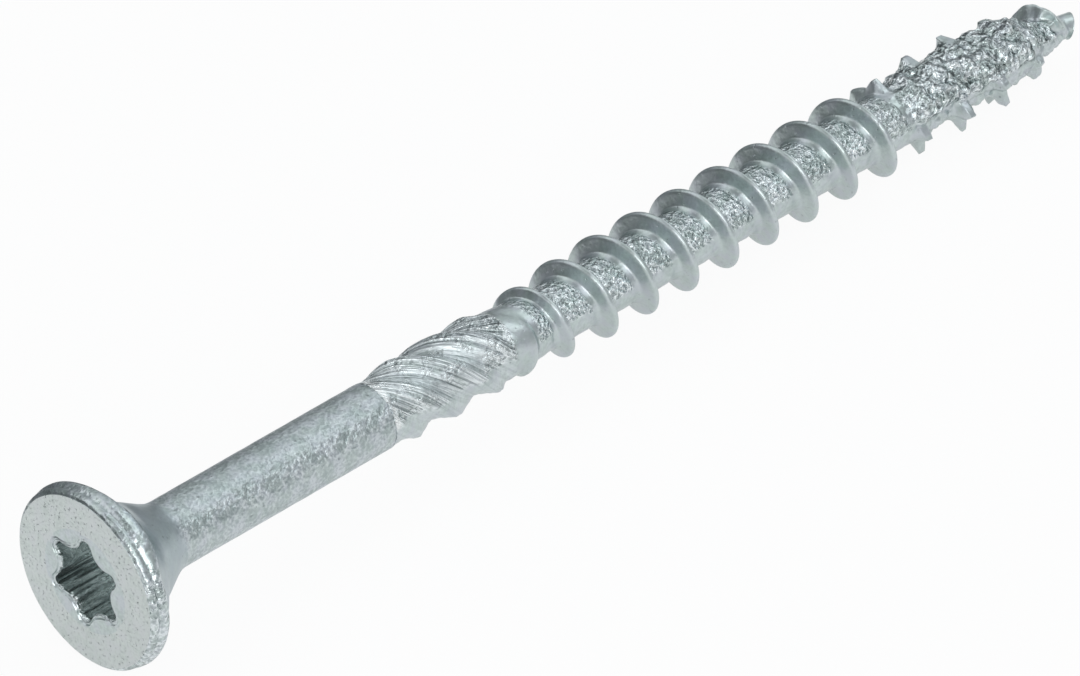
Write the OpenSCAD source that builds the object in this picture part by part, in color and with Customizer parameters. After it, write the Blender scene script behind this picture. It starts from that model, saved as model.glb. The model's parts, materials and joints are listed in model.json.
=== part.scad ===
// Countersunk construction screw with a partial thread, milling ribs and a serrated point.
// The screw is drawn along X from the head face to the point, then laid on its side.

/* [Head] */
// Whole length from the head face to the point
length = 80; // [76:0.5:90]
// Widest diameter of the head, at its rim
head_d = 11.55; // [11:0.05:13]
// Diameter of the flat face inside the rounded rim
face_d = 10.8; // [10:0.1:10.9]
// Depth of the widest circle below the face
rim_depth = 0.9; // [0.6:0.05:1]
// Depth of the lower edge of the rim
rim_edge = 1.25; // [1.1:0.05:1.6]
// Depth at which the steep rim cone turns into the slimmer neck cone
cone_depth = 3.2; // [2.8:0.1:3.6]
// Diameter where the two cones meet
cone_d = 7.15; // [6.8:0.05:7.6]
// Depth at which the neck has run out into the shank
neck_depth = 6.3; // [6:0.1:8]
// Radius of the hollow at the foot of the neck
neck_fillet = 2; // [1:0.1:3]

/* [Recess] */
// Diameter across the six lobes
lobe_d = 5.5; // [5:0.1:6]
// Diameter between facing ridges
ridge_d = 4; // [3.6:0.05:4.4]
// Radius of the round end of each lobe
lobe_r = 0.5; // [0.4:0.02:0.6]
// Depth of the straight walls
recess_depth = 3; // [2:0.1:3.4]
// Widest diameter of the worn mouth
mouth_d = 5.9; // [5.8:0.1:6.6]
// Turn of the first lobe about the axis
recess_turn = 27; // [0:1:59]

/* [Shank] */
// Diameter of the smooth shank
shank_d = 4.2; // [4:0.05:4.8]
// Distance from the head face to the end of the smooth shank
shank_end = 22.4; // [16:0.2:26]

/* [Milling ribs] */
// Diameter over the ribs
rib_d = 4.86; // [4.6:0.02:5.4]
// Diameter at the bottom of the grooves between them
groove_d = 3.66; // [3.4:0.02:4]
// Length along the axis that the ribs cover
rib_length = 9.4; // [6:0.2:14]
// Distance along the axis in which one rib goes once round
rib_lead = 13.5; // [12:0.1:24]

/* [Thread] */
// Diameter over the thread
thread_d = 5.75; // [5.4:0.05:6.4]
// Diameter of the core between the turns
core_d = 3.65; // [3.4:0.05:4]
// Distance from one turn to the next
pitch = 3.29; // [2.8:0.01:4]
// Turn of the whole thread about the axis
thread_turn = 194.5; // [0:0.5:359]
// Diameter of the plain band between the ribs and the thread
collar_d = 4.1; // [3.8:0.05:4.4]
// Length along the axis over which the thread grows to its full height
run_in = 7.5; // [4:0.5:10]

/* [Serrated point] */
// Length of the point that carries saw teeth on the thread
tooth_length = 15.8; // [8:0.2:24]
// Depth of a tooth
tooth_depth = 0.5; // [0.1:0.02:0.6]
// Length over which the thread loses height
nose_length = 7.8; // [6:0.2:10]
// Loss of radius of the crest for each millimetre of the nose
nose_fall = 0.165; // [0.1:0.005:0.25]
// Length of the narrowing core and the blunt tip
point_length = 5; // [4:0.2:7]
// Length of the blunt tip
tip_length = 1; // [0.4:0.1:1.6]
// Diameter of the blunt tip
tip_d = 1.4; // [0.6:0.1:1.8]

/* [Hidden] */

// Columns of points round the axis, a multiple of both the ribs and the teeth
columns = 40;
rib_count = 4;
tooth_count = 8;
rib_columns = columns / rib_count;
tooth_columns = columns / tooth_count;
rib_rows = 14;
// Columns by which the ribs are turned against the thread
rib_shift = 9;

// One turn of the thread, as shares of the pitch and of the height: flank, crest, flank, core
knots = [
    [0.13, 0],
    [0.16, 0.06],
    [0.19, 0.22],
    [0.26, 0.86],
    [0.3, 1],
    [0.34, 1],
    [0.37, 0.86],
    [0.45, 0.12],
    [0.5, 0]
];

// Height of one tooth across its columns: a sharp rise and a slow fall
tooth_shape = [0, 1, 0.75, 0.45, 0.2];

// Height of one rib across its columns
rib_shape = [0, 0.2, 0.5, 0.75, 0.95, 1, 0.75, 0.5, 0.3, 0.1];

// Share of its height with which the thread begins
run_in_share = 0.36;

// Radius of the crest at the blunt end, and its gain for each millimetre back from there
end_r = 0.4;
end_gain = 0.8;

// Length of the rounded lower edge of the rim, and the loss of radius at its two ends
edge_length = 0.2;
edge_drop = 0.1;
cone_drop = 0.4;

// Cone left by the punch below the straight walls: depth, loss of radius at its top, radius at its bottom
punch_depth = 0.7;
punch_inset = 0.1;
punch_r = 0.3;
// Depth of the worn mouth
mouth_depth = 0.35;

head_r = head_d / 2;
face_r = face_d / 2;
shank_r = shank_d / 2;
cone_r = cone_d / 2;
thread_r = thread_d / 2;
core_r = core_d / 2;
rib_r = rib_d / 2;
groove_r = groove_d / 2;
collar_r = collar_d / 2;
tip_r = tip_d / 2;
rib_end = shank_end + rib_length;
arc_steps = 6;
// Lengths over which the grooves sink in from the shank, the ribs rise, and both run out
groove_run = 1.4;
rib_run = 2.4;
rib_fade_length = 1.2;
// Depth to which the ribbed core reaches into the shank, and its radius there
root_depth = 0.5;
root_r = groove_r - 0.2;
// Amount by which the cutters pass the faces that they cut
slack = 0.2;
// Amount by which two cutters share the same space
overlap = 0.01;
// Rows nearer than this to an end of the thread are drawn together there
end_gap = 0.12;

function clamp01(v) = min(1, max(0, v));
function ramp(x, from, to) = clamp01((x - from) / (to - from));
function ease(v) = v * v * (3 - 2 * v);
function mix(a, b, share) = a + (b - a) * share;

// Head and smooth shank, as an outline of [distance along the axis, radius]

// Quarter-round from the face to the widest circle, and the rounding below it
function rim_points() = [
    for (k = [0 : arc_steps])
        let (a = 90 * k / arc_steps)
        [rim_depth * (1 - cos(a)), face_r + (head_r - face_r) * sin(a)]
];

// Foot of the neck: an arc that meets both the slim cone and the shank without an edge
neck_run = neck_depth - cone_depth;
neck_rise = neck_fillet - (cone_r - shank_r);
neck_sweep = asin(neck_fillet / norm([neck_run, neck_rise])) - atan2(neck_rise, neck_run);
function neck_points() = [
    for (k = [0 : arc_steps])
        let (a = neck_sweep * (1 - k / arc_steps))
        [neck_depth - neck_fillet * sin(a), shank_r + neck_fillet * (1 - cos(a))]
];

under_rim = [[rim_edge, head_r - edge_drop], [rim_edge + edge_length, head_r - cone_drop]];

module head_and_shank() {
    rotate([90, 0, 90])
        rotate_extrude($fn = 96)
            polygon([
                for (p = concat(
                    [[0, 0]], rim_points(), under_rim, [[cone_depth, cone_r]],
                    neck_points(), [[shank_end, shank_r], [shank_end, 0]]
                ))
                    [p.y, p.x]
            ]);
}

// Six-lobe recess: round lobes joined by hollow arcs that touch them

lobe_at = lobe_d / 2 - lobe_r;
ridge_r = (lobe_r * lobe_r - lobe_at * lobe_at - pow(ridge_d / 2, 2) + lobe_at * ridge_d * cos(30))
    / (2 * (ridge_d / 2 - lobe_at * cos(30) - lobe_r));
ridge_at = ridge_d / 2 + ridge_r;
touch = lobe_at * [1, 0] + lobe_r / (lobe_r + ridge_r) * (ridge_at * [cos(30), sin(30)] - lobe_at * [1, 0]);
lobe_sweep = atan2(touch.y, touch.x - lobe_at);
ridge_sweep = atan2(ridge_at * sin(30) - touch.y, ridge_at * cos(30) - touch.x) - 30;

function lobe_arc(turn) = [
    for (k = [-arc_steps : arc_steps])
        lobe_at * [cos(turn), sin(turn)]
            + lobe_r * [cos(turn + lobe_sweep * k / arc_steps), sin(turn + lobe_sweep * k / arc_steps)]
];
function ridge_arc(turn) = [
    for (k = [1 - arc_steps : arc_steps - 1])
        let (a = turn + 180 - ridge_sweep * k / arc_steps)
        ridge_at * [cos(turn), sin(turn)] + ridge_r * [cos(a), sin(a)]
];

module recess() {
    rotate([90, 0, 90])
        rotate(recess_turn) {
            translate([0, 0, -slack])
                linear_extrude(recess_depth + slack)
                    polygon([for (k = [0 : 5]) each concat(lobe_arc(60 * k), ridge_arc(60 * k + 30))]);
            translate([0, 0, recess_depth - overlap])
                cylinder(h = punch_depth, r1 = ridge_d / 2 - punch_inset, r2 = punch_r, $fn = 48);
            translate([0, 0, -slack])
                cylinder(
                    h = slack + mouth_depth, r1 = mouth_d / 2 + slack, r2 = mouth_d / 2 - mouth_depth, $fn = 48
                );
        }
}

// Ribs, thread and point share one skin. Its rows lie across the ribs first, then along the thread.

function column_angle(i) = thread_turn + 360 * i / columns;
function skin_point(x, r, a) = [x, r * cos(a), r * sin(a)];

rib_start = shank_end + 0.05;
function rib_x(j) =
    j == 0 ? shank_end - root_depth
    : mix(rib_start, rib_end, (j - 1) / (rib_rows - 1));
function rib_fade(x) = ease(ramp(x, rib_end - rib_fade_length, rib_end));
function rib_height(x, i) =
    ramp(x, shank_end, shank_end + rib_run) * (1 - rib_fade(x))
    * rib_shape[(i + rib_shift) % rib_columns];
function rib_foot(x) = mix(
    mix(shank_r, groove_r, ramp(x, shank_end, shank_end + groove_run)),
    collar_r,
    rib_fade(x)
);
function rib_row(j) =
    let (x = rib_x(j), low = j == 0 ? root_r : rib_foot(x))
    [
        for (i = [0 : columns - 1])
            let (r = mix(low, max(low, rib_r), rib_height(x, i)))
            skin_point(x, r, column_angle(i) - 360 * (rib_end - x) / rib_lead)
    ];

// Thread rows climb by one pitch for each turn
knot_count = len(knots);
// Turns that begin before the end of the ribs, so that every column has a row there
turns_before = 2;
turns = ceil((length - rib_end) / pitch) + turns_before + 1;
thread_rows = turns * knot_count;
function knot(q) = knots[q % knot_count];
function thread_x(q, i) = rib_end + pitch * (floor(q / knot_count) - turns_before + knot(q).x + i / columns);

function crest_r(x) = min(
    mix(core_r, thread_r, mix(run_in_share, 1, ramp(x, rib_end, rib_end + run_in))),
    thread_r - nose_fall * max(0, x - (length - nose_length)),
    end_r + end_gain * max(0, length - x)
);
function stem_r(x) = mix(
    mix(collar_r, core_r, ramp(x, rib_end, rib_end + pitch)),
    tip_r,
    ramp(x, length - point_length, length - tip_length)
);
function tooth(x, i) =
    tooth_depth * ease(ramp(x, length - tooth_length, length - tooth_length + 1))
    * (1 - tooth_shape[i % tooth_columns]);
function thread_radius(q, i, x) =
    stem_r(x) + max(0, crest_r(x) - tooth(x, i) - stem_r(x)) * knot(q).y;

// Rows that would begin before the ribs end are drawn together at the last rib row.
// The first row past the end of the screw is the rim of its blunt tip, and later rows close in the middle.
early_rows = (turns_before + 1) * knot_count;
function first_row(i) = max([for (q = [0 : early_rows]) if (thread_x(q, i) < rib_end + end_gap) q]);
function last_row(i) = min([for (q = [0 : thread_rows - 1]) if (thread_x(q, i) > length - end_gap) q]);
firsts = [for (i = [0 : columns - 1]) first_row(i)];
lasts = [for (i = [0 : columns - 1]) last_row(i)];
function place(q, i) =
    i == columns ? place(q + knot_count, 0)
    : q <= firsts[i] ? rib_rows * columns + i
    : q > lasts[i] ? tip_index
    : (rib_rows + 1 + q) * columns + i;

rib_skin = [for (j = [0 : rib_rows]) each rib_row(j)];
thread_skin = [
    for (q = [0 : thread_rows - 1])
        for (i = [0 : columns - 1])
            let (x = q < lasts[i] ? thread_x(q, i) : length)
            skin_point(x, thread_radius(q, i, x), column_angle(i))
];
root_index = len(rib_skin) + len(thread_skin);
tip_index = root_index + 1;
skin_points = concat(rib_skin, thread_skin, [[shank_end - root_depth, 0, 0], [length, 0, 0]]);

// Two triangles for each cell, and none where a cell has closed up. Cells that end
// in the middle of the tip are split the other way, so that the tip stays flat.
function triangle(a, b, c) = a == b || b == c || a == c ? [] : [[a, b, c]];
function cell(a, b, c, d) =
    c == tip_index ? concat(triangle(a, d, b), triangle(b, d, c))
    : concat(triangle(a, c, b), triangle(a, d, c));
rib_faces = [
    for (j = [0 : rib_rows - 1])
        for (i = [0 : columns - 1])
            let (n = (i + 1) % columns)
            each cell(j * columns + i, j * columns + n, (j + 1) * columns + n, (j + 1) * columns + i)
];
thread_faces = [
    for (q = [0 : thread_rows - 1])
        for (i = [0 : columns - 1])
            each cell(place(q, i), place(q, i + 1), place(q + 1, i + 1), place(q + 1, i))
];
root_faces = [for (i = [0 : columns - 1]) [root_index, i, (i + 1) % columns]];

module ribs_and_thread() {
    polyhedron(points = skin_points, faces = concat(root_faces, rib_faces, thread_faces));
}

// The screw lies on the rim of its head and on the lowest full turn near the point

rest_rise = min([
    for (p = thread_skin)
        if (p.x > length / 2)
            (head_r + p.z) / (p.x - rim_depth)
]);
rest_tilt = atan(rest_rise);
middle_x = (length * cos(rest_tilt) + (tip_r - face_r) * sin(rest_tilt)) / 2;
lift = rim_depth * sin(rest_tilt) + head_r * cos(rest_tilt);

module screw() {
    color([0.69, 0.73, 0.72])
        translate([-middle_x, 0, lift])
            rotate([0, rest_tilt, 0])
                difference() {
                    union() {
                        head_and_shank();
                        ribs_and_thread();
                    }
                    recess();
                }
}

screw();
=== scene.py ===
import json
import math
import bmesh
import bpy
import numpy as np
from mathutils import Matrix, Vector, noise


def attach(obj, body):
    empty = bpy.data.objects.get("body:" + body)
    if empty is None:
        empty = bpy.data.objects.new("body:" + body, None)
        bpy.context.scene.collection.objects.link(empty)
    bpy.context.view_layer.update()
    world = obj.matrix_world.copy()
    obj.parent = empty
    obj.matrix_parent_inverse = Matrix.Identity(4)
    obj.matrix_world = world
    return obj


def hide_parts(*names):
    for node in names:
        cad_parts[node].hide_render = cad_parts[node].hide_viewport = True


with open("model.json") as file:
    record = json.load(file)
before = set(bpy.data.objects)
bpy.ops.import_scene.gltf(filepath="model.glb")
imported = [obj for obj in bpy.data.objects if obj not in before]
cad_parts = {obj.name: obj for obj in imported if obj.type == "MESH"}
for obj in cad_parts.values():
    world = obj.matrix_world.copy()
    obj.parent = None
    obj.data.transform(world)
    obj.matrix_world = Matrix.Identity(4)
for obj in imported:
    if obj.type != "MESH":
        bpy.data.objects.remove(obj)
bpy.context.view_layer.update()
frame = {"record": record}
mm = 0.001  # sizes below are in millimetres, Blender works in metres
close = 0.001  # points nearer than this, in millimetres, count as being at one place
weld = 2e-6  # points nearer than this, in metres, are joined

# The screw is modelled along X from its head face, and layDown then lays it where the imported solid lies
mounts = {mount["name"]: mount for mount in frame["record"]["mounts"]}
faceCentre = Vector(mounts["drive_socket"]["pos_m"])
axisDown = -Vector(mounts["drive_socket"]["axis"])
layTilt = math.atan2(-axisDown.z, axisDown.x)
layDown = Matrix.Translation(faceCentre) @ Matrix.Rotation(layTilt, 4, "Y")


# Helpers for work in edit mode

def startEdit(piece):
    bpy.ops.object.select_all(action="DESELECT")
    piece.select_set(True)
    bpy.context.view_layer.objects.active = piece
    bpy.ops.object.mode_set(mode="EDIT")
    bpy.ops.mesh.select_mode(type="VERT")
    bpy.ops.mesh.select_all(action="SELECT")


def endEdit():
    bpy.ops.object.mode_set(mode="OBJECT")


def selectPoints(piece, test):  # test gets a point in millimetres
    bpy.ops.mesh.select_all(action="DESELECT")
    mesh = bmesh.from_edit_mesh(piece.data)
    for point in mesh.verts:
        point.select = test(point.co / mm)
    mesh.select_flush_mode()
    bmesh.update_edit_mesh(piece.data)


def readPoints(piece):
    points = np.empty(len(piece.data.vertices) * 3, np.float32)
    piece.data.vertices.foreach_get("co", points)
    return points.reshape(-1, 3).astype(float) / mm


def writePoints(piece, points):
    piece.data.vertices.foreach_set("co", (points * mm).astype(np.float32).ravel())
    piece.data.update()


def storeValues(piece, name, values):
    kind = "FLOAT" if values.ndim == 1 else "FLOAT_VECTOR"
    attribute = piece.data.attributes.new(name, kind, "POINT")
    attribute.data.foreach_set("value" if values.ndim == 1 else "vector", values.astype(np.float32).ravel())


# Helpers for shapes, on numbers or on arrays of them

def ramp(values, low, high):
    return np.clip((values - low) / (high - low), 0, 1)


def ease(share):
    return share * share * (3 - 2 * share)


def blend(low, high, share):
    return low + (high - low) * share


def wave(turns, shape):  # value of a shape that repeats once in each turn
    return np.interp(turns % 1 * len(shape), range(len(shape) + 1), shape + shape[:1])


def lumps(points, size, seed):  # soft noise from -1 to 1 with features of that size
    shift = Vector((seed * 17.3, seed * 5.1, seed * 9.7))
    return np.array([noise.noise(Vector(point) / size + shift) for point in points])


def domes(points, size, seed):  # rounded cells, 0 at their borders and 1 in their middles
    shift = Vector((seed * 11.9, seed * 3.7, seed * 8.3))
    fromMiddle = np.array([noise.voronoi(Vector(point) / size + shift)[0][0] for point in points])
    return 1 - np.minimum(1, fromMiddle * 1.3)


def curveThrough(corners, steps):  # a smooth line through given corners
    line = []
    for k in range(len(corners) - 1):
        before = Vector(corners[max(k - 1, 0)])
        start, end = Vector(corners[k]), Vector(corners[k + 1])
        after = Vector(corners[min(k + 2, len(corners) - 1)])
        for j in range(steps):
            t = j / steps
            line.append(0.5 * (
                2 * start + (end - before) * t + (2 * before - 5 * start + 4 * end - after) * t ** 2
                + (3 * start - before - 3 * end + after) * t ** 3
            ))
    return line + [Vector(corners[-1])]


def anglesOf(points):  # degrees about the screw's axis
    return np.degrees(np.arctan2(points[:, 2], points[:, 1]))


def awayFrom(angles, middle):  # degrees from a direction, from -180 to 180
    return (angles - middle + 180) % 360 - 180


# Head, socket, neck and smooth shank: rings drawn out of one circle

head = {
    "columns": 144,
    "faceRadius": 5.4,
    # depth and radius: a crisp face edge, two rolled ridges with a hollow between, and a sharp lower edge
    "rim": [
        (0, 5.4), (0.035, 5.41), (0.05, 5.455), (0.09, 5.53), (0.15, 5.595), (0.23, 5.64), (0.33, 5.66),
        (0.42, 5.65), (0.5, 5.618), (0.57, 5.615), (0.64, 5.65), (0.71, 5.715), (0.79, 5.76),
        (0.9, 5.772), (1.02, 5.768), (1.12, 5.745), (1.2, 5.7), (1.26, 5.63)],
    "hollow": (0.44, 0.66),
    "underside": [
        (1.26, 5.63), (1.45, 5.36), (2.2, 4.59), (3.2, 3.575), (4.0, 3.1), (4.8, 2.64), (5.3, 2.38),
        (5.8, 2.175), (6.3, 2.1)],
    "undersideSteps": 4,  # rings between two of these
    "shankRadius": 2.1,
    "shankEnd": 22.4,
    "shankRings": 60,
    "endEdge": (0.12, 0.1),  # length and depth of the edge broken at the shank's end
    "endRadius": 1.2,
    "faceRings": [5.15, 4.8, 4.4, 4.0, 3.6, 3.3],
    # the lower edge of the rim stands out unevenly: angle from bulgeAt, and depth added there
    "bulge": [
        (-60, -0.05), (-45, 0.05), (-30, 0.2), (-24, 0.3), (-15, 0.35), (-7, 0.34), (0, 0.26), (8, 0.16),
        (14, 0.02), (21, -0.08), (35, -0.06), (50, 0)],
    "bulgeAt": 130,
    "bulgeOutside": 3,
    "bulgeStart": (0.85, 1.2),  # depths between which it comes in
    "bulgeEnd": (1.3, 2.4),  # and goes out
}
socket = {
    "lobeAt": 2.25,  # middle of a lobe's round end
    "lobeRadius": 0.5,
    "lobeHalf": 11.3,  # degrees on either side of a lobe's middle that its round end covers
    "ridgeAt": 3.135,  # middle of the hollow arc between two lobes
    "ridgeRadius": 1.135,
    "turn": 27,
    "depth": 3.0,
    "coneDepth": 0.7,
    "coneRing": (0.35, 1.2),  # share of the cone's depth and radius where its slope changes
    # depth and growth of the worn lip: a burr, a crease and a rounded edge
    "lip": [
        (0, 0.47), (0, 0.43), (-0.045, 0.37), (-0.055, 0.33), (0, 0.285), (0.06, 0.26), (0.065, 0.23),
        (0.01, 0.19), (0.01, 0.15), (0.07, 0.09), (0.16, 0.035), (0.26, 0.01), (0.4, 0)],
    "lipSide": 310,  # the lip is highest on this side
    "lipHeight": (0.65, 0.45),  # its mean height and how much that swings round the socket
    # the rings are drawn round first, and their radius tells which one they are
    "lipRing": 3.0,
    "lipStep": 0.02,
    "wallRing": 2.6,
    "wallRings": 9,
    "reach": (3.75, 3.22, 0.1),  # depth and radius of all that is in the socket, and its taper
}


def lobeOutline(angle):  # radius of the six-lobe outline in that direction
    fromLobe = (angle - math.radians(socket["turn"]) + math.pi / 6) % (math.pi / 3) - math.pi / 6
    across = socket["lobeAt"] * math.sin(abs(fromLobe))
    fromRidge = math.pi / 6 - abs(fromLobe)
    if abs(fromLobe) < math.radians(socket["lobeHalf"]):
        return socket["lobeAt"] * math.cos(fromLobe) + math.sqrt(socket["lobeRadius"] ** 2 - across ** 2)
    aside = socket["ridgeAt"] * math.sin(fromRidge)
    return socket["ridgeAt"] * math.cos(fromRidge) - math.sqrt(socket["ridgeRadius"] ** 2 - aside ** 2)


def inSocket(x, radius):
    depth, mouth, taper = socket["reach"]
    return (x < depth) & (radius < mouth - taper * x)


def outerRings():  # depth and radius, from the face's edge to the end of the shank
    rings = head["rim"][1:]
    rings += [tuple(ring) for ring in curveThrough(head["underside"], head["undersideSteps"])[1:]]
    neckEnd = head["underside"][-1][0]
    edgeLength, edgeDepth = head["endEdge"]
    for k in range(1, head["shankRings"] + 1):
        x = blend(neckEnd, head["shankEnd"] - edgeLength, k / head["shankRings"])
        rings.append((x, head["shankRadius"]))
    rings.append((head["shankEnd"], head["shankRadius"] - edgeDepth))
    return rings + [(head["shankEnd"], head["endRadius"])]


def innerRings():  # the same inwards: the flat face, the lip, the wall and the cone of the socket
    rings = [(0, radius) for radius in head["faceRings"]]
    for k, (depth, growth) in enumerate(socket["lip"]):
        rings.append((depth, socket["lipRing"] - socket["lipStep"] * k))
    wallStart = socket["lip"][-1][0]
    for k in range(1, socket["wallRings"] + 1):
        rings.append((blend(wallStart, socket["depth"], k / socket["wallRings"]), socket["wallRing"]))
    share, radius = socket["coneRing"]
    return rings + [(socket["depth"] + share * socket["coneDepth"], radius)]


def drawRings(rings):  # from the edge of the face on
    lastX, lastRadius = 0, head["faceRadius"]
    for x, radius in rings:
        bpy.ops.mesh.extrude_region_move(TRANSFORM_OT_translate={"value": ((x - lastX) * mm, 0, 0)})
        scale = radius / lastRadius
        bpy.ops.transform.resize(value=(1, scale, scale), center_override=(x * mm, 0, 0))
        lastX, lastRadius = x, radius


def shapeSocket(piece):  # the rings inside the mouth take the six-lobe outline
    points = readPoints(piece)
    lipMean, lipSwing = socket["lipHeight"]
    for point in points:
        radius = math.hypot(point[1], point[2])
        outside = radius > socket["lipRing"] + close or radius < socket["wallRing"] - close
        if outside or point[0] > socket["depth"] + close:
            continue
        angle = math.atan2(point[2], point[1])
        wanted = lobeOutline(angle)
        ring = round((socket["lipRing"] - radius) / socket["lipStep"])
        if ring < len(socket["lip"]):
            wanted += socket["lip"][ring][1]
            point[0] *= lipMean + lipSwing * math.cos(angle - math.radians(socket["lipSide"]))
        point[1:] *= wanted / radius
    writePoints(piece, points)


def makeHead():
    bpy.ops.object.select_all(action="DESELECT")
    bpy.ops.mesh.primitive_circle_add(
        vertices=head["columns"], radius=head["faceRadius"] * mm, rotation=(0, math.pi / 2, 0))
    piece = bpy.context.object
    piece.name = "head_and_shank"
    bpy.ops.object.transform_apply()
    startEdit(piece)
    drawRings(outerRings())
    bpy.ops.mesh.merge(type="CENTER")
    selectPoints(piece, lambda p: (
        abs(p.x) < close and abs(math.hypot(p.y, p.z) - head["faceRadius"]) < close))
    drawRings(innerRings())
    coneLeft = (1 - socket["coneRing"][0]) * socket["coneDepth"]
    bpy.ops.mesh.extrude_region_move(TRANSFORM_OT_translate={"value": (coneLeft * mm, 0, 0)})
    bpy.ops.mesh.merge(type="CENTER")
    bpy.ops.mesh.select_all(action="SELECT")
    bpy.ops.mesh.normals_make_consistent(inside=False)
    endEdit()
    shapeSocket(piece)
    return piece


headWear = {
    "rim": (5.35, 1.3),  # what lies outside this radius and above this depth is the rim
    "shank": (5.2, 6.6),  # depths between which the neck turns into the shank
    "dents": [(1.1, 0.012, 4), (0.5, 0.008, 5)],  # size, depth and seed
    "dentsFrom": 5.5,  # none above this depth but on the rim
    "dentsOutside": 0.5,  # nearer the axis than this they get weaker
    # degrees from bulgeAt between which the rim turns grainy, and where that ends
    "grainySide": (4, 26),
    "grainySideEnd": 120,
    "ragged": (1.0, 12),  # size of the steps in that edge, and their width in degrees
    # a grainier band runs along the shank
    "bandStart": (-8, 4),
    "bandEnd": (16, 34),
    # how grainy the coating is, and how much more it is in some places
    "onFace": 0.1,
    "inSocket": 0.3,
    "onRim": 0.2,
    # the hollow is grainier, and its extra dark specks are painted shade
    "moreInHollow": 0.1,
    "moreBelow": 0.15,
    "below": (1.1, 1.2),
    "onGrainySide": 0.6,
    "onShank": 0.3,
    "moreInBand": 0.3,
    "faceDepth": 0.02,
    "streaksFrom": 0.1,  # depth from which the wall of the socket is streaked
    "streakStretch": 0.12,  # the smaller, the longer the streaks
    "brightLip": (0.004, 0.3),  # depths between which the lip is rubbed bright
}


def wearHead(piece):  # small dents, and where the coating is grainy, drawn or worn
    points = readPoints(piece)
    x = points[:, 0].copy()
    radius = np.hypot(points[:, 1], points[:, 2])
    around = awayFrom(anglesOf(points), head["bulgeAt"])
    inside = inSocket(x, radius)
    rimRadius, rimDepth = headWear["rim"]
    onRim = (radius > rimRadius) & (x < rimDepth)
    onShank = ease(ramp(x, *headWear["shank"]))

    # Grain
    inHollow = (x > head["hollow"][0]) & (x < head["hollow"][1])
    onBand = ease(ramp(around, *headWear["bandStart"])) * (1 - ease(ramp(around, *headWear["bandEnd"])))
    raggedSize, raggedBy = headWear["ragged"]
    edge = around + raggedBy * lumps(points, raggedSize, seed=8)
    onSide = ease(ramp(edge, *headWear["grainySide"])) * (around < headWear["grainySideEnd"])
    rimRough = headWear["onRim"] + headWear["moreInHollow"] * inHollow
    rimRough += headWear["moreBelow"] * ramp(x, *headWear["below"])
    rimRough = np.maximum(rimRough, headWear["onGrainySide"] * onSide)
    shankRough = (headWear["onShank"] + headWear["moreInBand"] * onBand) * onShank
    rough = np.where(onRim, rimRough, shankRough)
    rough[x < headWear["faceDepth"]] = headWear["onFace"]
    rough[inside & (x > headWear["faceDepth"])] = headWear["inSocket"]

    # Dents and the bulge of the rim's lower edge
    dents = sum(lumps(points, size, seed) * depth for size, depth, seed in headWear["dents"])
    moved = np.where(onRim | (x > headWear["dentsFrom"]), dents * (onRim + onShank), 0)
    points[:, 1:] *= (1 + moved / np.maximum(radius, headWear["dentsOutside"]))[:, None]
    bulge = np.interp(around, *zip(*head["bulge"])) * (radius > head["bulgeOutside"])
    points[:, 0] += bulge * ramp(x, *head["bulgeStart"]) * (1 - ramp(x, *head["bulgeEnd"]))
    writePoints(piece, points)

    lipTop, lipEnd = headWear["brightLip"]
    storeValues(piece, "rough", rough)
    storeValues(piece, "drawn", 1.0 * (inside & (x > headWear["streaksFrom"])))
    storeValues(piece, "worn", 1.0 * (inside & (x < lipEnd) & (np.abs(x) > lipTop)))
    storeValues(piece, "along", np.column_stack((x * headWear["streakStretch"], points[:, 1:])))
    return piece


# Ribs, thread and point: one helical skin, wound from the outline of a single turn

screwLength = 80.0
thread = {
    "columns": 120,
    "turnStart": 238.5,  # degrees, where the first column stands
    "mark": 32.2,  # place along the axis where a turn of the outline begins on the first column
    "pitch": 3.29,
    "crestRadius": 2.875,
    "coreRadius": 1.825,
    "turnsBefore": 4,  # turns between the buried start and the mark
    "turns": 19,
    # one turn as shares of the pitch and the height: a hollow foot, steep flanks and a narrow crest
    "outline": [
        (0, 0), (0.03, 0), (0.07, 0.008), (0.1, 0.022), (0.13, 0.043), (0.16, 0.077), (0.18, 0.12),
        (0.192, 0.17), (0.2, 0.23), (0.262, 0.86), (0.282, 0.965), (0.3, 0.995), (0.32, 1),
        (0.34, 0.99), (0.354, 0.96), (0.37, 0.86), (0.45, 0.12), (0.475, 0.03), (0.51, 0), (1, 0)],
    "crestShare": 0.32,
    "foot": (0.03, 0.1),  # shares of the pitch between which the root turns into the hollow foot
    "footEnd": 0.5,  # and where the root begins again
    "longest": 0.135,  # edges of the outline are cut down to this length
    "firstCrest": (31.0, 32.2),
    "lastCrest": (78.2, 79),
    "runIn": 7.0,  # length over which the thread grows to its full height
    "runInShare": 0.42,  # height at its beginning
    "late": 0.9,  # on one side the first turn runs this much nearer the point
    "lateAt": 130,  # degrees
    "lateStart": (32.0, 32.6),
    "lateEnd": (33.2, 35.5),
    "noseLength": 7.8,
    "noseFall": 0.165,  # loss of radius for each millimetre of the nose
    "endRadius": 0.02,
    "endGain": 0.79,  # growth of radius for each millimetre from the end
    "rootLumps": (0.45, 0.035),  # size and depth
    "leastRadius": 0.2,
}
threadStart = thread["mark"] - thread["turnsBefore"] * thread["pitch"]
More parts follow.
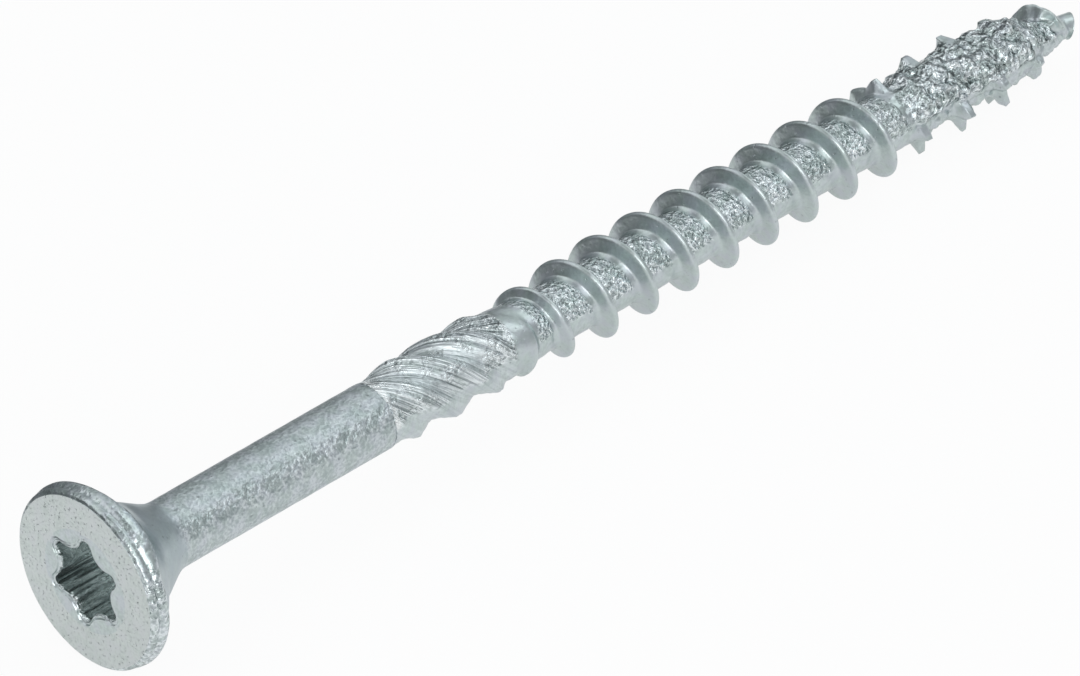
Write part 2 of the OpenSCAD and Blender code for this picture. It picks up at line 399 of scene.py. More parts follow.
ribs = {
    "start": 22.4,
    "end": 32.0,
    "count": 4,
    "lead": 13.5,
    "grooveRadius": 1.83,
    "radius": 2.43,
    "collarRadius": 2.1,
    "grooveRun": 1.4,  # length over which the grooves sink in from the shank
    "ribRun": 2.4,  # length over which the ribs rise from it
    "fade": 1.1,  # length over which both run out into the collar
    "shift": 32.3,  # degrees by which the ribs are turned against the thread
    "shape": [0, 0.26, 0.62, 0.96, 1, 0.7, 0.38, 0.14],
    "lines": (0.22, 0.045),  # size and depth of the fine lines drawn along them
    "lineRun": 0.6,
    "lineStretch": 0.06,  # the smaller, the longer the lines
    "lineRadius": 2.2,
    # before the ribs the skin sinks inside the shank, over this length and to this radius
    "sinkRun": 0.1,
    "sunk": 1.6,
    "free": 9,  # more than any radius of the screw
}
teeth = {
    "count": 8,
    "start": (63.4, 64.6),
    "end": (75.4, 76.0),
    "peakAt": 67.67,  # place along the crest where one tooth peaks
    # number of a tooth counted from that one, and how late it comes as a share of a tooth
    "late": [(-9, 0.4), (-4, 0.38), (0, 0), (4, 0.15), (8, -0.17), (13, -0.28), (20, 0.07)],
    # and how much shorter it is
    "short": [(-6, 0), (-5, 0.4), (-4, 0), (4, 0), (5, 0.4), (6, 0.1), (8, 0), (12, 0), (13, 0.1)],
    "depth": 0.78,
    "shape": [0, 0.3, 0.62, 1, 0.62, 0.3],
    "seed": 5,
    "uneven": (0.75, 1.15),  # least and largest share of the depth
    "drawn": 60,  # how many such shares are drawn
    "drawnBefore": 20,  # and how many of them lie before the tooth at peakAt
    "wide": 1.25,  # the teeth are this much broader than the thread
}
# On this side the thread of the point is crushed flat and the core is filled up to it
crushed = {
    "middle": 118,  # degrees
    "half": (36, 66),
    "start": (63.6, 64.9),
    "end": (74.8, 75.6),
    "left": 0.06,  # share of the thread's height that is left
    "filledMiddle": 87,
    "filledHalf": (64, 88),
    "filledStart": (65, 66.5),
    "filledEnd": (74.2, 76),
    "filledRadius": 2.2,
}
tip = {
    "start": 75.0,  # from here the core narrows
    "neck": 79.0,
    "radius": 0.72,
    "slant": 0.45,  # its blunt end leans by this much
    "topAngle": 39,
    "bend": 0.45,  # the tip was pushed aside by this much
    "bendStart": 75.5,
    "bendPower": 1.6,
    "rough": (64.0, 66.5),  # places between which the smooth thread turns into the rough point
    "cells": [(1.0, 0.32), (0.55, 0.22)],  # size and depth of the rough cells on it
    "cellMiddle": 0.45,  # height of a cell that leaves the surface in place
    "calmCrest": (0.2, 0.8),  # shares of the thread's height between which the cells get weaker
    "calm": 0.75,  # and the share that they lose
    "sway": (0.8, 0.16),  # size and width of the thread's unevenness along the axis
    "swayEnd": 1.5,  # none this near the end
    "plainEnd": (78.2, 78.9),  # from here the tip is smooth again
}


def windThread():
    bpy.ops.object.select_all(action="DESELECT")
    bpy.ops.mesh.primitive_plane_add(size=mm)
    piece = bpy.context.object
    piece.name = "thread_and_point"
    height = thread["crestRadius"] - thread["coreRadius"]
    startEdit(piece)
    bpy.ops.mesh.merge(type="CENTER")
    bpy.ops.transform.translate(value=(threadStart * mm, thread["coreRadius"] * mm, 0))
    for (share, rise), (nextShare, nextRise) in zip(thread["outline"], thread["outline"][1:]):
        run = (nextShare - share) * thread["pitch"]
        lift = (nextRise - rise) * height
        cuts = math.ceil(math.hypot(run, lift) / thread["longest"])
        for k in range(cuts):
            bpy.ops.mesh.extrude_vertices_move(
                TRANSFORM_OT_translate={"value": (run / cuts * mm, lift / cuts * mm, 0)})
    bpy.ops.mesh.select_all(action="SELECT")
    bpy.ops.transform.rotate(  # this operator turns the other way, so the angle is negative
        value=-math.radians(thread["turnStart"]), orient_axis="X", center_override=(0, 0, 0))
    endEdit()

    wound = piece.modifiers.new("wound", "SCREW")
    wound.axis = "X"
    wound.angle = 2 * math.pi
    wound.screw_offset = thread["pitch"] * mm
    wound.iterations = thread["turns"]
    wound.steps = thread["columns"]
    wound.render_steps = thread["columns"]
    bpy.ops.object.modifier_apply(modifier=wound.name)
    startEdit(piece)
    bpy.ops.mesh.remove_doubles(threshold=weld)
    endEdit()
    return piece


def crushedSide(skin):  # share by which the thread is crushed flat, and by which the core is filled up
    fromFlat = np.abs(awayFrom(skin.angle, crushed["middle"]))
    fromFilled = np.abs(awayFrom(skin.angle, crushed["filledMiddle"]))
    alongPoint = ease(ramp(skin.crestPlace, *crushed["start"])) * (1 - ease(ramp(skin.x, *crushed["end"])))
    flat = (1 - ease(ramp(fromFlat, *crushed["half"]))) * alongPoint * (1 - crushed["left"])
    filled = 1 - ease(ramp(fromFilled, *crushed["filledHalf"]))
    filled *= ease(ramp(skin.x, *crushed["filledStart"]))
    return flat, filled * (1 - ease(ramp(skin.x, *crushed["filledEnd"])))


class Skin:  # the wound thread, each array with one value for every point
    def __init__(self, piece):
        self.points = readPoints(piece)
        self.x = self.points[:, 0].copy()
        self.angle = anglesOf(self.points)
        turned = (self.x - threadStart) / thread["pitch"] - (self.angle - thread["turnStart"]) / 360
        self.share = turned % 1  # place in the outline of one turn
        self.crestPlace = self.x + (thread["crestShare"] - self.share) * thread["pitch"]
        self.onRibs = self.x < ribs["end"]
        self.pointed = ease(ramp(self.x, *tip["rough"]))
        height = np.hypot(self.points[:, 1], self.points[:, 2]) - thread["coreRadius"]
        height /= thread["crestRadius"] - thread["coreRadius"]
        self.height = np.minimum(1, height * blend(1, teeth["wide"], self.pointed))
        foot = ramp(self.share, *thread["foot"]) * (self.share < thread["footEnd"])
        self.rooted = (1 - foot) * ~self.onRibs  # 1 on the root, 0 on the thread and its foot
        self.flat, self.filled = crushedSide(self)

        # Angle in a frame that turns with the ribs, and places in it, stretched along the ribs
        self.ribAngle = self.angle - thread["turnStart"] + 360 * (ribs["end"] - self.x) / ribs["lead"]
        self.ribAngle += ribs["shift"]
        across = np.radians(self.ribAngle)
        radius = ribs["lineRadius"]
        self.alongRibs = np.column_stack((
            self.x * ribs["lineStretch"], radius * np.cos(across), radius * np.sin(across)))

    def setRadius(self, radius):
        self.points[:, 1:] *= (radius / np.hypot(self.points[:, 1], self.points[:, 2]))[:, None]


def toothBite(skin):  # what the uneven saw teeth take off the crest
    number = (skin.crestPlace - teeth["peakAt"]) * teeth["count"] / thread["pitch"]
    number -= np.interp(number, *zip(*teeth["late"]))
    bite = 1 - wave(number + 0.5, teeth["shape"])
    uneven = np.random.default_rng(teeth["seed"]).uniform(*teeth["uneven"], teeth["drawn"])
    bite *= np.interp(number + teeth["drawnBefore"], np.arange(teeth["drawn"]), uneven) * teeth["depth"]
    bite += np.interp(number, *zip(*teeth["short"]))
    bite *= ease(ramp(skin.crestPlace, *teeth["start"]))
    return bite * (1 - ramp(skin.crestPlace, *teeth["end"]))


def coreRadii(skin):  # narrower after the plain band and in the tip, filled up on the crushed side
    core = blend(
        ribs["collarRadius"], thread["coreRadius"], ramp(skin.x, ribs["end"], ribs["end"] + thread["pitch"]))
    core = blend(core, tip["radius"], ramp(skin.x, tip["start"], tip["neck"]))
    return blend(core, crushed["filledRadius"], skin.filled)


def threadRise(skin, core):  # the thread grows after the ribs and loses height along the nose
    grown = ramp(skin.x, thread["mark"], thread["mark"] + thread["runIn"])
    crest = blend(thread["coreRadius"], thread["crestRadius"], blend(thread["runInShare"], 1, grown))
    onNose = np.maximum(0, skin.x - (screwLength - thread["noseLength"]))
    crest = np.minimum(crest, thread["crestRadius"] - thread["noseFall"] * onNose)
    fromEnd = np.maximum(0, screwLength - skin.x)
    crest = np.minimum(crest, thread["endRadius"] + thread["endGain"] * fromEnd)
    present = ease(ramp(skin.crestPlace, *thread["firstCrest"]))
    present *= 1 - ease(ramp(skin.crestPlace, *thread["lastCrest"]))
    return np.maximum(0, crest - toothBite(skin) - core) * present * (1 - skin.flat) * skin.height


def ribRadii(skin, rise):  # raised from the grooves, twisted about the axis, sunk into the plain band
    fade = ease(ramp(skin.x, ribs["end"] - ribs["fade"], ribs["end"]))
    raised = wave(skin.ribAngle * ribs["count"] / 360, ribs["shape"]) * (1 - fade)
    raised *= ramp(skin.x, ribs["start"], ribs["start"] + ribs["ribRun"])
    sinking = ramp(skin.x, ribs["start"], ribs["start"] + ribs["grooveRun"])
    groove = blend(blend(head["shankRadius"], ribs["grooveRadius"], sinking), ribs["collarRadius"], fade)
    radii = blend(groove, np.maximum(groove, ribs["radius"]), raised) + rise * fade
    buried = ramp(skin.x, ribs["start"] - ribs["sinkRun"], ribs["start"])
    return np.minimum(radii, blend(ribs["sunk"], ribs["free"], buried))


def roughen(skin, radii):  # lumps on the root and the whole point, lines along the ribs, an uneven thread
    size, depth = thread["rootLumps"]
    moved = depth * skin.rooted * (1 - skin.pointed) * lumps(skin.points, size, seed=1)
    size, depth = ribs["lines"]
    lineStart = ramp(skin.x, ribs["start"], ribs["start"] + ribs["lineRun"])
    moved += skin.onRibs * depth * lumps(skin.alongRibs, size, seed=2) * lineStart
    calm = 1 - tip["calm"] * ease(ramp(skin.height * (1 - skin.flat), *tip["calmCrest"]))
    for size, depth in tip["cells"]:
        cells = domes(skin.points, size, seed=3) - tip["cellMiddle"]
        moved += skin.pointed * (1 - skin.atEnd) * depth * cells * calm
    size, width = tip["sway"]
    swayed = skin.pointed * width * lumps(skin.points, size, seed=6)
    swayed *= skin.x < screwLength - tip["swayEnd"]
    facing = np.maximum(0, np.cos(np.radians(skin.angle - thread["lateAt"])))
    firstTurn = ease(ramp(skin.x, *thread["lateStart"])) * (1 - ease(ramp(skin.x, *thread["lateEnd"])))
    swayed += thread["late"] * facing * firstTurn
    skin.setRadius(np.maximum(radii + moved, thread["leastRadius"]))
    skin.points[:, 0] += swayed


def shapeThread(piece):
    skin = Skin(piece)
    core = coreRadii(skin)
    rise = threadRise(skin, core)
    radii = np.where(skin.onRibs, ribRadii(skin, rise), core + rise)
    end = screwLength - tip["slant"] * (1 - np.cos(np.radians(skin.angle - tip["topAngle"])))
    radii[skin.x > end] = tip["radius"]
    skin.points[:, 0] = np.minimum(skin.x, end)
    skin.atEnd = ramp(skin.points[:, 0], *tip["plainEnd"])
    skin.setRadius(radii)
    roughen(skin, radii)
    bend = tip["bend"] * ramp(skin.x, tip["bendStart"], screwLength) ** tip["bendPower"]
    down = np.radians(tip["topAngle"] + 180)
    skin.points[:, 1] += bend * np.cos(down)
    skin.points[:, 2] += bend * np.sin(down)
    writePoints(piece, skin.points)
    return skin


threadWear = {
    "below": (160, 172),  # degrees, grainy before and smooth after
    "belowEnd": (250, 290),  # and grainy again
    "ragged": (0.9, 9),  # size of the steps in that edge, and their width in degrees
    "patchSize": 1.1,
    "patches": (-0.1, 0.25),  # noise values between which a grainy patch of the ribs comes in
    # how grainy the coating is, and how much more it is in some places
    "onRibs": 0.15,
    "moreInPatches": 0.5,
    "moreAtEnd": 0.5,
    "ribsEnd": (30.6, 31.6),
    "mostOnRibs": 0.9,
    "onThread": 0.05,
    "moreOnRoot": 0.95,
    "rootStart": (33.0, 33.4),
    "pointRoot": 1.5,  # more than 1 crushes the surface too
    "crushed": 2,
    # and how much of it is gone in others
    "goneBelow": 0.92,
    "goneAtTip": 0.95,
    "linesGoneBelow": 0.85,
    # the crest is worn bright, partly with a painted highlight, and here and there the small step where the
    # ribs begin gets a painted highlight
    "crest": (0.93, 1),
    "stepLength": 0.32,
    "stepSize": 1.3,
    "stepPatches": (0.0, 0.15),
}


def wearThread(piece, skin):  # band, flanks and underside stay smooth, but not where they are crushed
    # painted glints and dark specks follow the grain, and painted streaks follow the drawn lines, so the
    # underside, where the light is even, is left without them
    raggedSize, raggedBy = threadWear["ragged"]
    edge = skin.angle % 360 + raggedBy * lumps(skin.points, raggedSize, seed=10)
    below = ease(ramp(edge, *threadWear["below"])) * (1 - ramp(edge, *threadWear["belowEnd"]))
    patches = ease(ramp(lumps(skin.points, threadWear["patchSize"], seed=9), *threadWear["patches"]))
    onRibs = threadWear["onRibs"] + threadWear["moreInPatches"] * patches
    onRibs += threadWear["moreAtEnd"] * ramp(skin.x, *threadWear["ribsEnd"])
    onRoot = skin.rooted * ramp(skin.x, *threadWear["rootStart"])
    grainy = np.where(
        skin.onRibs, np.minimum(onRibs, threadWear["mostOnRibs"]),
        threadWear["onThread"] + threadWear["moreOnRoot"] * onRoot)
    crushedPlaces = threadWear["crushed"] * np.maximum(skin.flat ** 2, skin.filled * (1 - skin.height))
    crushedPlaces = skin.pointed * np.maximum(threadWear["pointRoot"] * skin.rooted, crushedPlaces)
    rough = np.maximum(grainy, crushedPlaces) * (1 - threadWear["goneBelow"] * below)
    # the step where the ribs begin gets a painted highlight, pure white on the ribs
    stepHighlight = ease(ramp(lumps(skin.points, threadWear["stepSize"], seed=11), *threadWear["stepPatches"]))
    stepHighlight *= (skin.x < ribs["start"] + threadWear["stepLength"]) * (1 - below)
    crest = ease(ramp(skin.height, *threadWear["crest"])) * (1 - skin.pointed)
    storeValues(piece, "rough", rough * (1 - threadWear["goneAtTip"] * skin.atEnd))
    storeValues(piece, "drawn", skin.onRibs * (1 - threadWear["linesGoneBelow"] * below))
    storeValues(piece, "worn", np.where(skin.onRibs, stepHighlight, crest))
    storeValues(piece, "along", skin.alongRibs)


def closeEnds(piece):  # both open ends are drawn together on the axis
    startEdit(piece)
    bpy.ops.mesh.remove_doubles(threshold=weld)
    middle = screwLength / 2 * mm
    for side in (-1, 1):
        bpy.ops.mesh.select_all(action="DESELECT")
        mesh = bmesh.from_edit_mesh(piece.data)
        for edge in mesh.edges:
            edge.select = edge.is_boundary and (edge.verts[0].co.x - middle) * side > 0
        mesh.select_flush(True)
        bmesh.update_edit_mesh(piece.data)
        bpy.ops.mesh.extrude_region_move()
        bpy.ops.mesh.merge(type="CENTER")
    bpy.ops.mesh.select_all(action="SELECT")
    bpy.ops.mesh.normals_make_consistent(inside=False)
    endEdit()


print("modelling the head and the shank")
headPiece = wearHead(makeHead())
print("winding the thread")
threadPiece = windThread()
wearThread(threadPiece, shapeThread(threadPiece))
closeEnds(threadPiece)


# Finishes

class Wire:  # a socket that takes part in sums
    def __init__(self, tree, socket):
        self.tree = tree
        self.socket = socket

    def maths(self, operation, *values):
        node = self.tree.nodes.new("ShaderNodeMath")
        node.operation = operation
        for target, value in zip(node.inputs, values):
            if isinstance(value, Wire):
                self.tree.links.new(value.socket, target)
            else:
                target.default_value = value
        return Wire(self.tree, node.outputs[0])

    def __add__(self, other):
        return self.maths("ADD", self, other)

    def __radd__(self, other):
        return self.maths("ADD", other, self)

    def __sub__(self, other):
        return self.maths("SUBTRACT", self, other)

    def __rsub__(self, other):
        return self.maths("SUBTRACT", other, self)

    def __mul__(self, other):
        return self.maths("MULTIPLY", self, other)

    def __rmul__(self, other):
        return self.maths("MULTIPLY", other, self)


class Finish:  # a material or a world, whose nodes come from one method
    def __init__(self, owner):
        owner.use_nodes = True
        self.owner = owner
        self.tree = owner.node_tree
        self.tree.nodes.clear()

    def node(self, kind, settings, sockets, output=0):
        made = self.tree.nodes.new("ShaderNode" + kind)
        for name, value in settings.items():
            setattr(made, name, value)
        for name, value in sockets.items():
            if isinstance(value, Wire):
                self.tree.links.new(value.socket, made.inputs[name])
            else:
                made.inputs[name].default_value = value
        return Wire(self.tree, made.outputs[output]) if made.outputs else None

    def attribute(self, name, output="Fac"):
        return self.node("Attribute", {"attribute_name": name}, {}, output=output)

    def noise(self, place, size, detail, roughness=0.5):
        return self.node("TexNoise", {}, {
            "Vector": place, "Scale": 1 / size, "Detail": detail, "Roughness": roughness})

    def between(self, value, low, high):  # 0 at low and 1 at high
        return self.node("MapRange", {}, {"Value": value, "From Min": low, "From Max": high})

    def colours(self, low, high, share):
        return self.node("Mix", {"data_type": "RGBA"}, {0: share, 6: low, 7: high}, output=2)


# What all zinc finishes share: noise values between which a mark comes in, and the like
coat = {
    "tone": (0.3, 0.7),
    "tint": (0.4, 0.65),
    "pitsAndShade": (0.5, 0.3),
    # the bright flecks are painted glints of the grain
    "glints": (0.5, 0.64),
    # painted highlights and painted shade along the drawn lines
    "glintLines": (0.42, 0.56),
    "shadeLines": (0.44, 0.3),
    "lineRoughness": 0.6,
    "speckFade": 0.08,
    "smoothPitsAndShade": 0.2,  # share of the pits and painted shade specks that smooth places have too
    "cellMiddle": 0.4,  # height of a cell that leaves the surface in place
    "cellSmoothness": 0.4,
}


def zincFinish(name, look):
    finish = Finish(bpy.data.materials.new(name))
    place = finish.node("TexCoord", {}, {}, output="Object")
    place = finish.node("Mapping", {"vector_type": "TEXTURE"}, {
        "Vector": place, "Location": faceCentre, "Rotation": (0, layTilt, 0)})
    rough = finish.attribute("rough")
    drawn = finish.attribute("drawn")
    worn = finish.attribute("worn")
    along = finish.attribute("along", "Vector")

    # Heights in millimetres: crystal grain, cells and wide unevenness of the coating, lines from drawing
    grain = finish.noise(place, look["grainSize"] * mm, 1)
    cells = finish.node("TexVoronoi", {"feature": "SMOOTH_F1"}, {
        "Vector": place, "Scale": 1 / (look["cellSize"] * mm), "Smoothness": coat["cellSmoothness"]})
    wide = finish.noise(place, look["wideSize"] * mm, 2)
    lines = finish.noise(along, look["lineSize"], look["lineDetail"], coat["lineRoughness"])
    crush = finish.noise(place, look["crushSize"] * mm, 1)
    crushed = finish.node("Math", {"operation": "MAXIMUM"}, {0: rough - 1, 1: 0})
    grainy = finish.node("Math", {"operation": "MINIMUM"}, {0: rough, 1: 1})
    height = grainy * ((grain - 0.5) * look["grainDepth"] + (cells - coat["cellMiddle"]) * look["cellDepth"])
    height = height + wide * look["wideDepth"] + crushed * ((crush - 0.5) * look["crushDepth"])
    height = height + drawn * (lines - 0.5) * look["lineDepth"]
    specks = finish.noise(place, look["speckSize"] * mm, 1)
    speck = finish.between(specks, look["speckFrom"], look["speckFrom"] + coat["speckFade"])
    height = height - speck * look["speckDepth"]
    bump = finish.node("Bump", {}, {"Strength": 1.0, "Distance": mm, "Height": height})

    # Colours: soft tones and a tint, then painted glints, painted highlights and shade along the drawn
    # lines, pits with painted shade, and what is worn bright, partly a painted highlight
    tone = finish.between(finish.noise(place, look["toneSize"] * mm, 3), *coat["tone"])
    colour = finish.colours(look["dark"], look["light"], tone)
    tint = finish.between(wide, *coat["tint"])
    colour = finish.colours(colour, look["tint"], tint * look["tintShare"])
    patchy = grain + (wide - 0.5) * look["patchShare"]  # painted glints and dark specks gather in patches
    glints = finish.between(patchy, *coat["glints"])
    colour = finish.colours(colour, look["glint"], glints * grainy * look["glintShare"])
    glintLines = finish.between(lines, *coat["glintLines"])
    colour = finish.colours(colour, look["glint"], glintLines * drawn * look["glintStreakShare"])
    shadeLines = finish.between(lines, *coat["shadeLines"])
    colour = finish.colours(colour, look["pitAndShade"], shadeLines * drawn * look["pitAndShadeShare"])
    pitsAndShade = finish.between(patchy, *coat["pitsAndShade"])
    pitsAndShade = pitsAndShade * (coat["smoothPitsAndShade"] + (1 - coat["smoothPitsAndShade"]) * grainy) * look["pitAndShadeShare"]
    colour = finish.colours(colour, look["pitAndShade"], pitsAndShade + speck * look["speckShare"])
    colour = finish.colours(colour, look["bareAndHighlight"], worn * look["wornShare"])
    roughness = look["roughness"] - grainy * look["sharper"] + (wide - 0.5) * look["roughnessSpread"]
    shader = finish.node("BsdfPrincipled", {}, {
        "Base Color": colour, "Metallic": 1.0, "Roughness": roughness, "Normal": bump})
    finish.node("OutputMaterial", {}, {"Surface": shader})
    return finish.owner


plainZinc = {
    "dark": (0.53, 0.60, 0.585, 1),
    "light": (0.60, 0.675, 0.66, 1),
    "toneSize": 1.3,
    "tint": (0.57, 0.59, 0.65, 1),  # faint violet shine of the passivation
    "tintShare": 0.6,
    # dark specks: real pits, and painted shade in the grain, along the drawn lines and in the rim's hollow
    "pitAndShade": (0.20, 0.23, 0.24, 1),
    "pitAndShadeShare": 0.55,
    "glint": (0.92, 0.97, 0.98, 1),  # painted glints of bare crystal faces
    "glintShare": 0.95,
    "patchShare": 0.65,
    "glintStreakShare": 0.9,
    "bareAndHighlight": (0.72, 0.77, 0.76, 1),  # rubbed bright, partly real wear and partly painted highlight
    "wornShare": 0.2,
    "grainSize": 0.21,
    "grainDepth": 0.18,
    "cellSize": 0.4,
    "cellDepth": 0.1,
    "crushSize": 0.7,
    "crushDepth": 0.8,
    "wideSize": 0.9,
    "wideDepth": 0.04,
    "lineSize": 0.22,
    "lineDetail": 3.0,
    "lineDepth": 0.34,
    "speckSize": 0.3,
    "speckFrom": 0.7,
    "speckDepth": 0.02,
    "speckShare": 0.4,
    "roughness": 0.34,
    "roughnessSpread": 0.15,
    "sharper": 0.16,  # rough crystal faces are more mirror-like
}
faceZinc = {
    **plainZinc,
    "dark": (0.60, 0.655, 0.635, 1),
    "light": (0.65, 0.70, 0.68, 1),
    "tint": (0.64, 0.66, 0.68, 1),
    "wideDepth": 0.02,
    "speckSize": 0.2,
    "speckFrom": 0.64,
    "speckDepth": 0.06,
    "glintShare": 0.3,
    "roughnessSpread": 0.1,
}
# a darker copy of the plain zinc under the head: painted shade
neckZincPaintedShade = {
    **plainZinc,
    "dark": (0.44, 0.51, 0.525, 1),
    "light": (0.52, 0.59, 0.60, 1),
    "tint": (0.46, 0.51, 0.55, 1),
    "speckDepth": 0.0,
}
# a brighter copy of the plain zinc in the socket: painted light in the recess, with broad painted streaks of
# highlight and shade along its wall
socketZincPaintedLight = {
    **plainZinc,
    "dark": (0.74, 0.82, 0.80, 1),
    "light": (0.88, 0.95, 0.93, 1),
    "tint": (0.82, 0.89, 0.88, 1),
    "lineSize": 0.6,
    "lineDetail": 1.0,
    "lineDepth": 1.0,
    "glintStreakShare": 0.45,
    "roughness": 0.3,
}
rimZinc = {
    **plainZinc,
    "grainSize": 0.26,
    "pitAndShadeShare": 0.75,
    "wideSize": 0.5,
    "wideDepth": 0.07,
    "roughness": 0.33,
}
shankZinc = {
    **plainZinc,
    "dark": (0.46, 0.53, 0.525, 1),
    "light": (0.60, 0.665, 0.655, 1),
    "toneSize": 0.8,
    "wideDepth": 0.06,
    "roughness": 0.44,
    "sharper": 0.1,
}
# a brighter, more contrasting copy of the plain zinc on the ribs: painted light, with a white painted
# highlight on the step where they begin and painted streaks along the lines
ribZincPaintedLight = {
    **plainZinc,
    "dark": (0.51, 0.58, 0.57, 1),
    "light": (0.65, 0.72, 0.71, 1),
    "bareAndHighlight": (0.97, 1.0, 1.0, 1),
    "wornShare": 1.0,
    "pitAndShadeShare": 0.8,
    "glintStreakShare": 1.0,
    "lineSize": 0.28,
}
pointZinc = {
    **plainZinc,
    "grainSize": 0.27,
    "cellSize": 0.75,
    "cellDepth": 0.32,
}
looks = {
    "zinc_plain": plainZinc,
    "zinc_face": faceZinc,
    "zinc_neck": neckZincPaintedShade,
    "zinc_socket": socketZincPaintedLight,
    "zinc_rim": rimZinc,
    "zinc_shank": shankZinc,
    "zinc_ribs": ribZincPaintedLight,
    "zinc_point": pointZinc,
}
finishNames = list(looks)
finishFrom = {"rim": 0.005, "socket": 0.12, "neck": 1.25, "shank": 6}  # depths where these finishes begin
smoothUpTo = 50  # degrees, sharper edges stay sharp


def headFinish(centre):  # name of the finish at a face's middle, in millimetres
    if centre.x > finishFrom["shank"]:
        return "zinc_shank"
    if inSocket(centre.x, math.hypot(centre.y, centre.z)):
        return "zinc_socket" if centre.x > finishFrom["socket"] else "zinc_plain"
    if centre.x > finishFrom["neck"]:
        return "zinc_neck"
    return "zinc_rim" if centre.x > finishFrom["rim"] else "zinc_face"


def threadFinish(centre):
    if centre.x < ribs["end"]:
        return "zinc_ribs"
    return "zinc_point" if centre.x > tip["rough"][0] else "zinc_plain"


def finishPiece(piece, chooseFinish):
    for finish in finishes:
        piece.data.materials.append(finish)
    for face in piece.data.polygons:
        face.material_index = finishNames.index(chooseFinish(face.center / mm))
    piece.data.transform(layDown)
    bpy.ops.object.select_all(action="DESELECT")
    bpy.context.view_layer.objects.active = piece
    piece.select_set(True)
    bpy.ops.object.shade_smooth_by_angle(angle=math.radians(smoothUpTo))
    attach(piece, "root")
    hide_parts("screw")
    print(piece.name, sum(len(face.vertices) - 2 for face in piece.data.polygons), "triangles")


print("coating the screw")
finishes = [zincFinish(name, look) for name, look in looks.items()]
finishPiece(headPiece, headFinish)
finishPiece(threadPiece, threadFinish)


# Table, surroundings, lamp and camera

studio = {
    "tableSize": 2.4,
    "tableWhite": 0.93,  # share of plain white that the camera sees, the rest is lit
    "mirrorWhite": 0.5,  # the same for mirrors
    "darkBehind": (15, 21),  # this far behind the screw the table shows mirrors painted shade, a dark patch that the camera doesn't see
    "mirrorShade": (0.10, 0.11, 0.12, 1),
    "tableColour": (0.95, 0.95, 0.95, 1),
    "white": (1, 1, 1, 1),
    "around": (0.45, 0.47, 0.485, 1),
    # soft panels and dark gaps: middle of each, cosines of its faded edge, and its colour
    "panels": [
        ((0.62, 0.25, 0.74), (0.80, 0.93), (0.70, 0.74, 0.76, 1)),
        ((0.60, -0.14, 0.78), (0.945, 0.975), (1.42, 1.5, 1.53, 1)),
        ((-0.22, 0.59, 0.78), (0.82, 0.93), (1.02, 1.05, 1.07, 1)),
        ((-0.18, -0.62, 0.76), (0.83, 0.93), (1.35, 1.42, 1.45, 1)),
        ((-0.66, 0.24, 0.71), (0.90, 0.96), (0.95, 0.98, 1.0, 1)),
        ((0.08, -0.08, 0.99), (0.91, 0.97), (0.24, 0.26, 0.27, 1)),
        ((-0.58, -0.25, 0.78), (0.93, 0.975), (0.28, 0.30, 0.31, 1)),
        ((-0.84, 0.50, 0.10), (0.88, 0.95), (0.12, 0.13, 0.135, 1)),
        ((-0.05, 0.96, 0.22), (0.80, 0.92), (0.24, 0.26, 0.27, 1)),
        ((-0.42, -0.90, 0.18), (0.85, 0.94), (0.30, 0.33, 0.34, 1)),
    ],
}
softbox = {
    "place": (-0.275, -0.288, 0.205),  # metres
    "size": 0.25,
    "watts": 0.43,
}
view = {
    "aim": (-4.722, -0.676, 3.690),
    "azimuth": -45.33,
    "elevation": 40.99,
    "roll": 1.718,
    "distance": 769.3,
    "lens": 444.0,
    "sensor": 36,
    "clip": (0.01, 10),  # metres
}


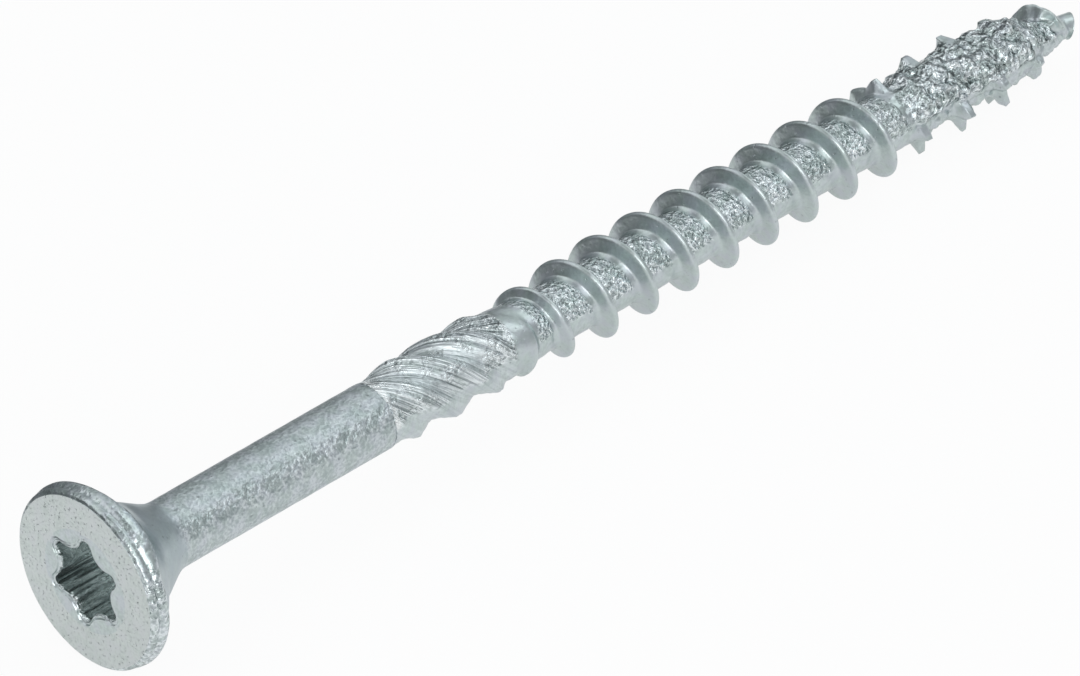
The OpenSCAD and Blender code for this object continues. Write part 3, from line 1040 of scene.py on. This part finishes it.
def makeTable():
    bpy.ops.mesh.primitive_plane_add(size=studio["tableSize"], location=(0, 0, 0))
    table = bpy.context.object
    table.name = "table"
    finish = Finish(bpy.data.materials.new("white_table"))
    lit = finish.node("BsdfDiffuse", {}, {"Color": studio["tableColour"]})
    camera = finish.node("LightPath", {}, {}, output="Is Camera Ray")
    glossy = finish.node("LightPath", {}, {}, output="Is Glossy Ray")
    through = finish.node("LightPath", {}, {}, output="Is Transmission Ray")
    place = finish.node("TexCoord", {}, {}, output="Object")
    behind = finish.node("SeparateXYZ", {}, {"Vector": place}, output="Y")
    nearEdge, farEdge = studio["darkBehind"]
    dark = finish.between(behind, nearEdge * mm, farEdge * mm)
    # mirrors see painted shade on the table behind the screw
    colour = finish.colours(studio["white"], studio["mirrorShade"], dark * glossy)
    glow = finish.node("Emission", {}, {"Color": colour, "Strength": 1.0})
    share = (camera + through) * studio["tableWhite"] + glossy * (
        studio["mirrorWhite"] + dark * (studio["tableWhite"] - studio["mirrorWhite"]))
    both = finish.node("MixShader", {}, {0: share, 1: lit, 2: glow})
    finish.node("OutputMaterial", {}, {"Surface": both})
    table.data.materials.append(finish.owner)


def makeSurroundings():
    world = bpy.data.worlds.new("studio")
    bpy.context.scene.world = world
    finish = Finish(world)
    direction = finish.node("TexCoord", {}, {}, output="Generated")
    around = studio["around"]
    for middle, (outer, inner), colour in studio["panels"]:
        towards = finish.node("VectorMath", {"operation": "DOT_PRODUCT"}, {
            0: direction, 1: Vector(middle).normalized()}, output="Value")
        around = finish.colours(around, colour, finish.between(towards, outer, inner))
    camera = finish.node("LightPath", {}, {}, output="Is Camera Ray")
    colour = finish.colours(around, studio["white"], camera)
    back = finish.node("Background", {}, {"Color": colour, "Strength": 1.0})
    finish.node("OutputWorld", {}, {"Surface": back})


def makeSoftbox():  # it faces the screw
    bpy.ops.object.light_add(type="AREA", location=softbox["place"])
    lamp = bpy.context.object
    lamp.name = "front_softbox"
    lamp.data.shape = "RECTANGLE"
    lamp.data.size = lamp.data.size_y = softbox["size"]
    lamp.data.energy = softbox["watts"]
    lamp.rotation_euler = (-Vector(softbox["place"])).to_track_quat("-Z", "Y").to_euler()


def makeCamera():
    azimuth, elevation = math.radians(view["azimuth"]), math.radians(view["elevation"])
    level = math.cos(elevation)
    back = Vector((math.sin(azimuth) * level, -math.cos(azimuth) * level, math.sin(elevation)))
    place = (Vector(view["aim"]) + back * view["distance"]) * mm
    turn = (-back).to_track_quat("-Z", "Y").to_matrix() @ Matrix.Rotation(math.radians(view["roll"]), 3, "Z")
    bpy.ops.object.camera_add(location=place, rotation=turn.to_euler())
    camera = bpy.context.object
    camera.data.lens = view["lens"]
    camera.data.sensor_width = view["sensor"]
    camera.data.clip_start, camera.data.clip_end = view["clip"]
    bpy.context.scene.camera = camera


print("setting up the table, the light and the camera")
makeTable()
makeSurroundings()
makeSoftbox()
makeCamera()
bpy.context.scene.view_settings.view_transform = "Standard"
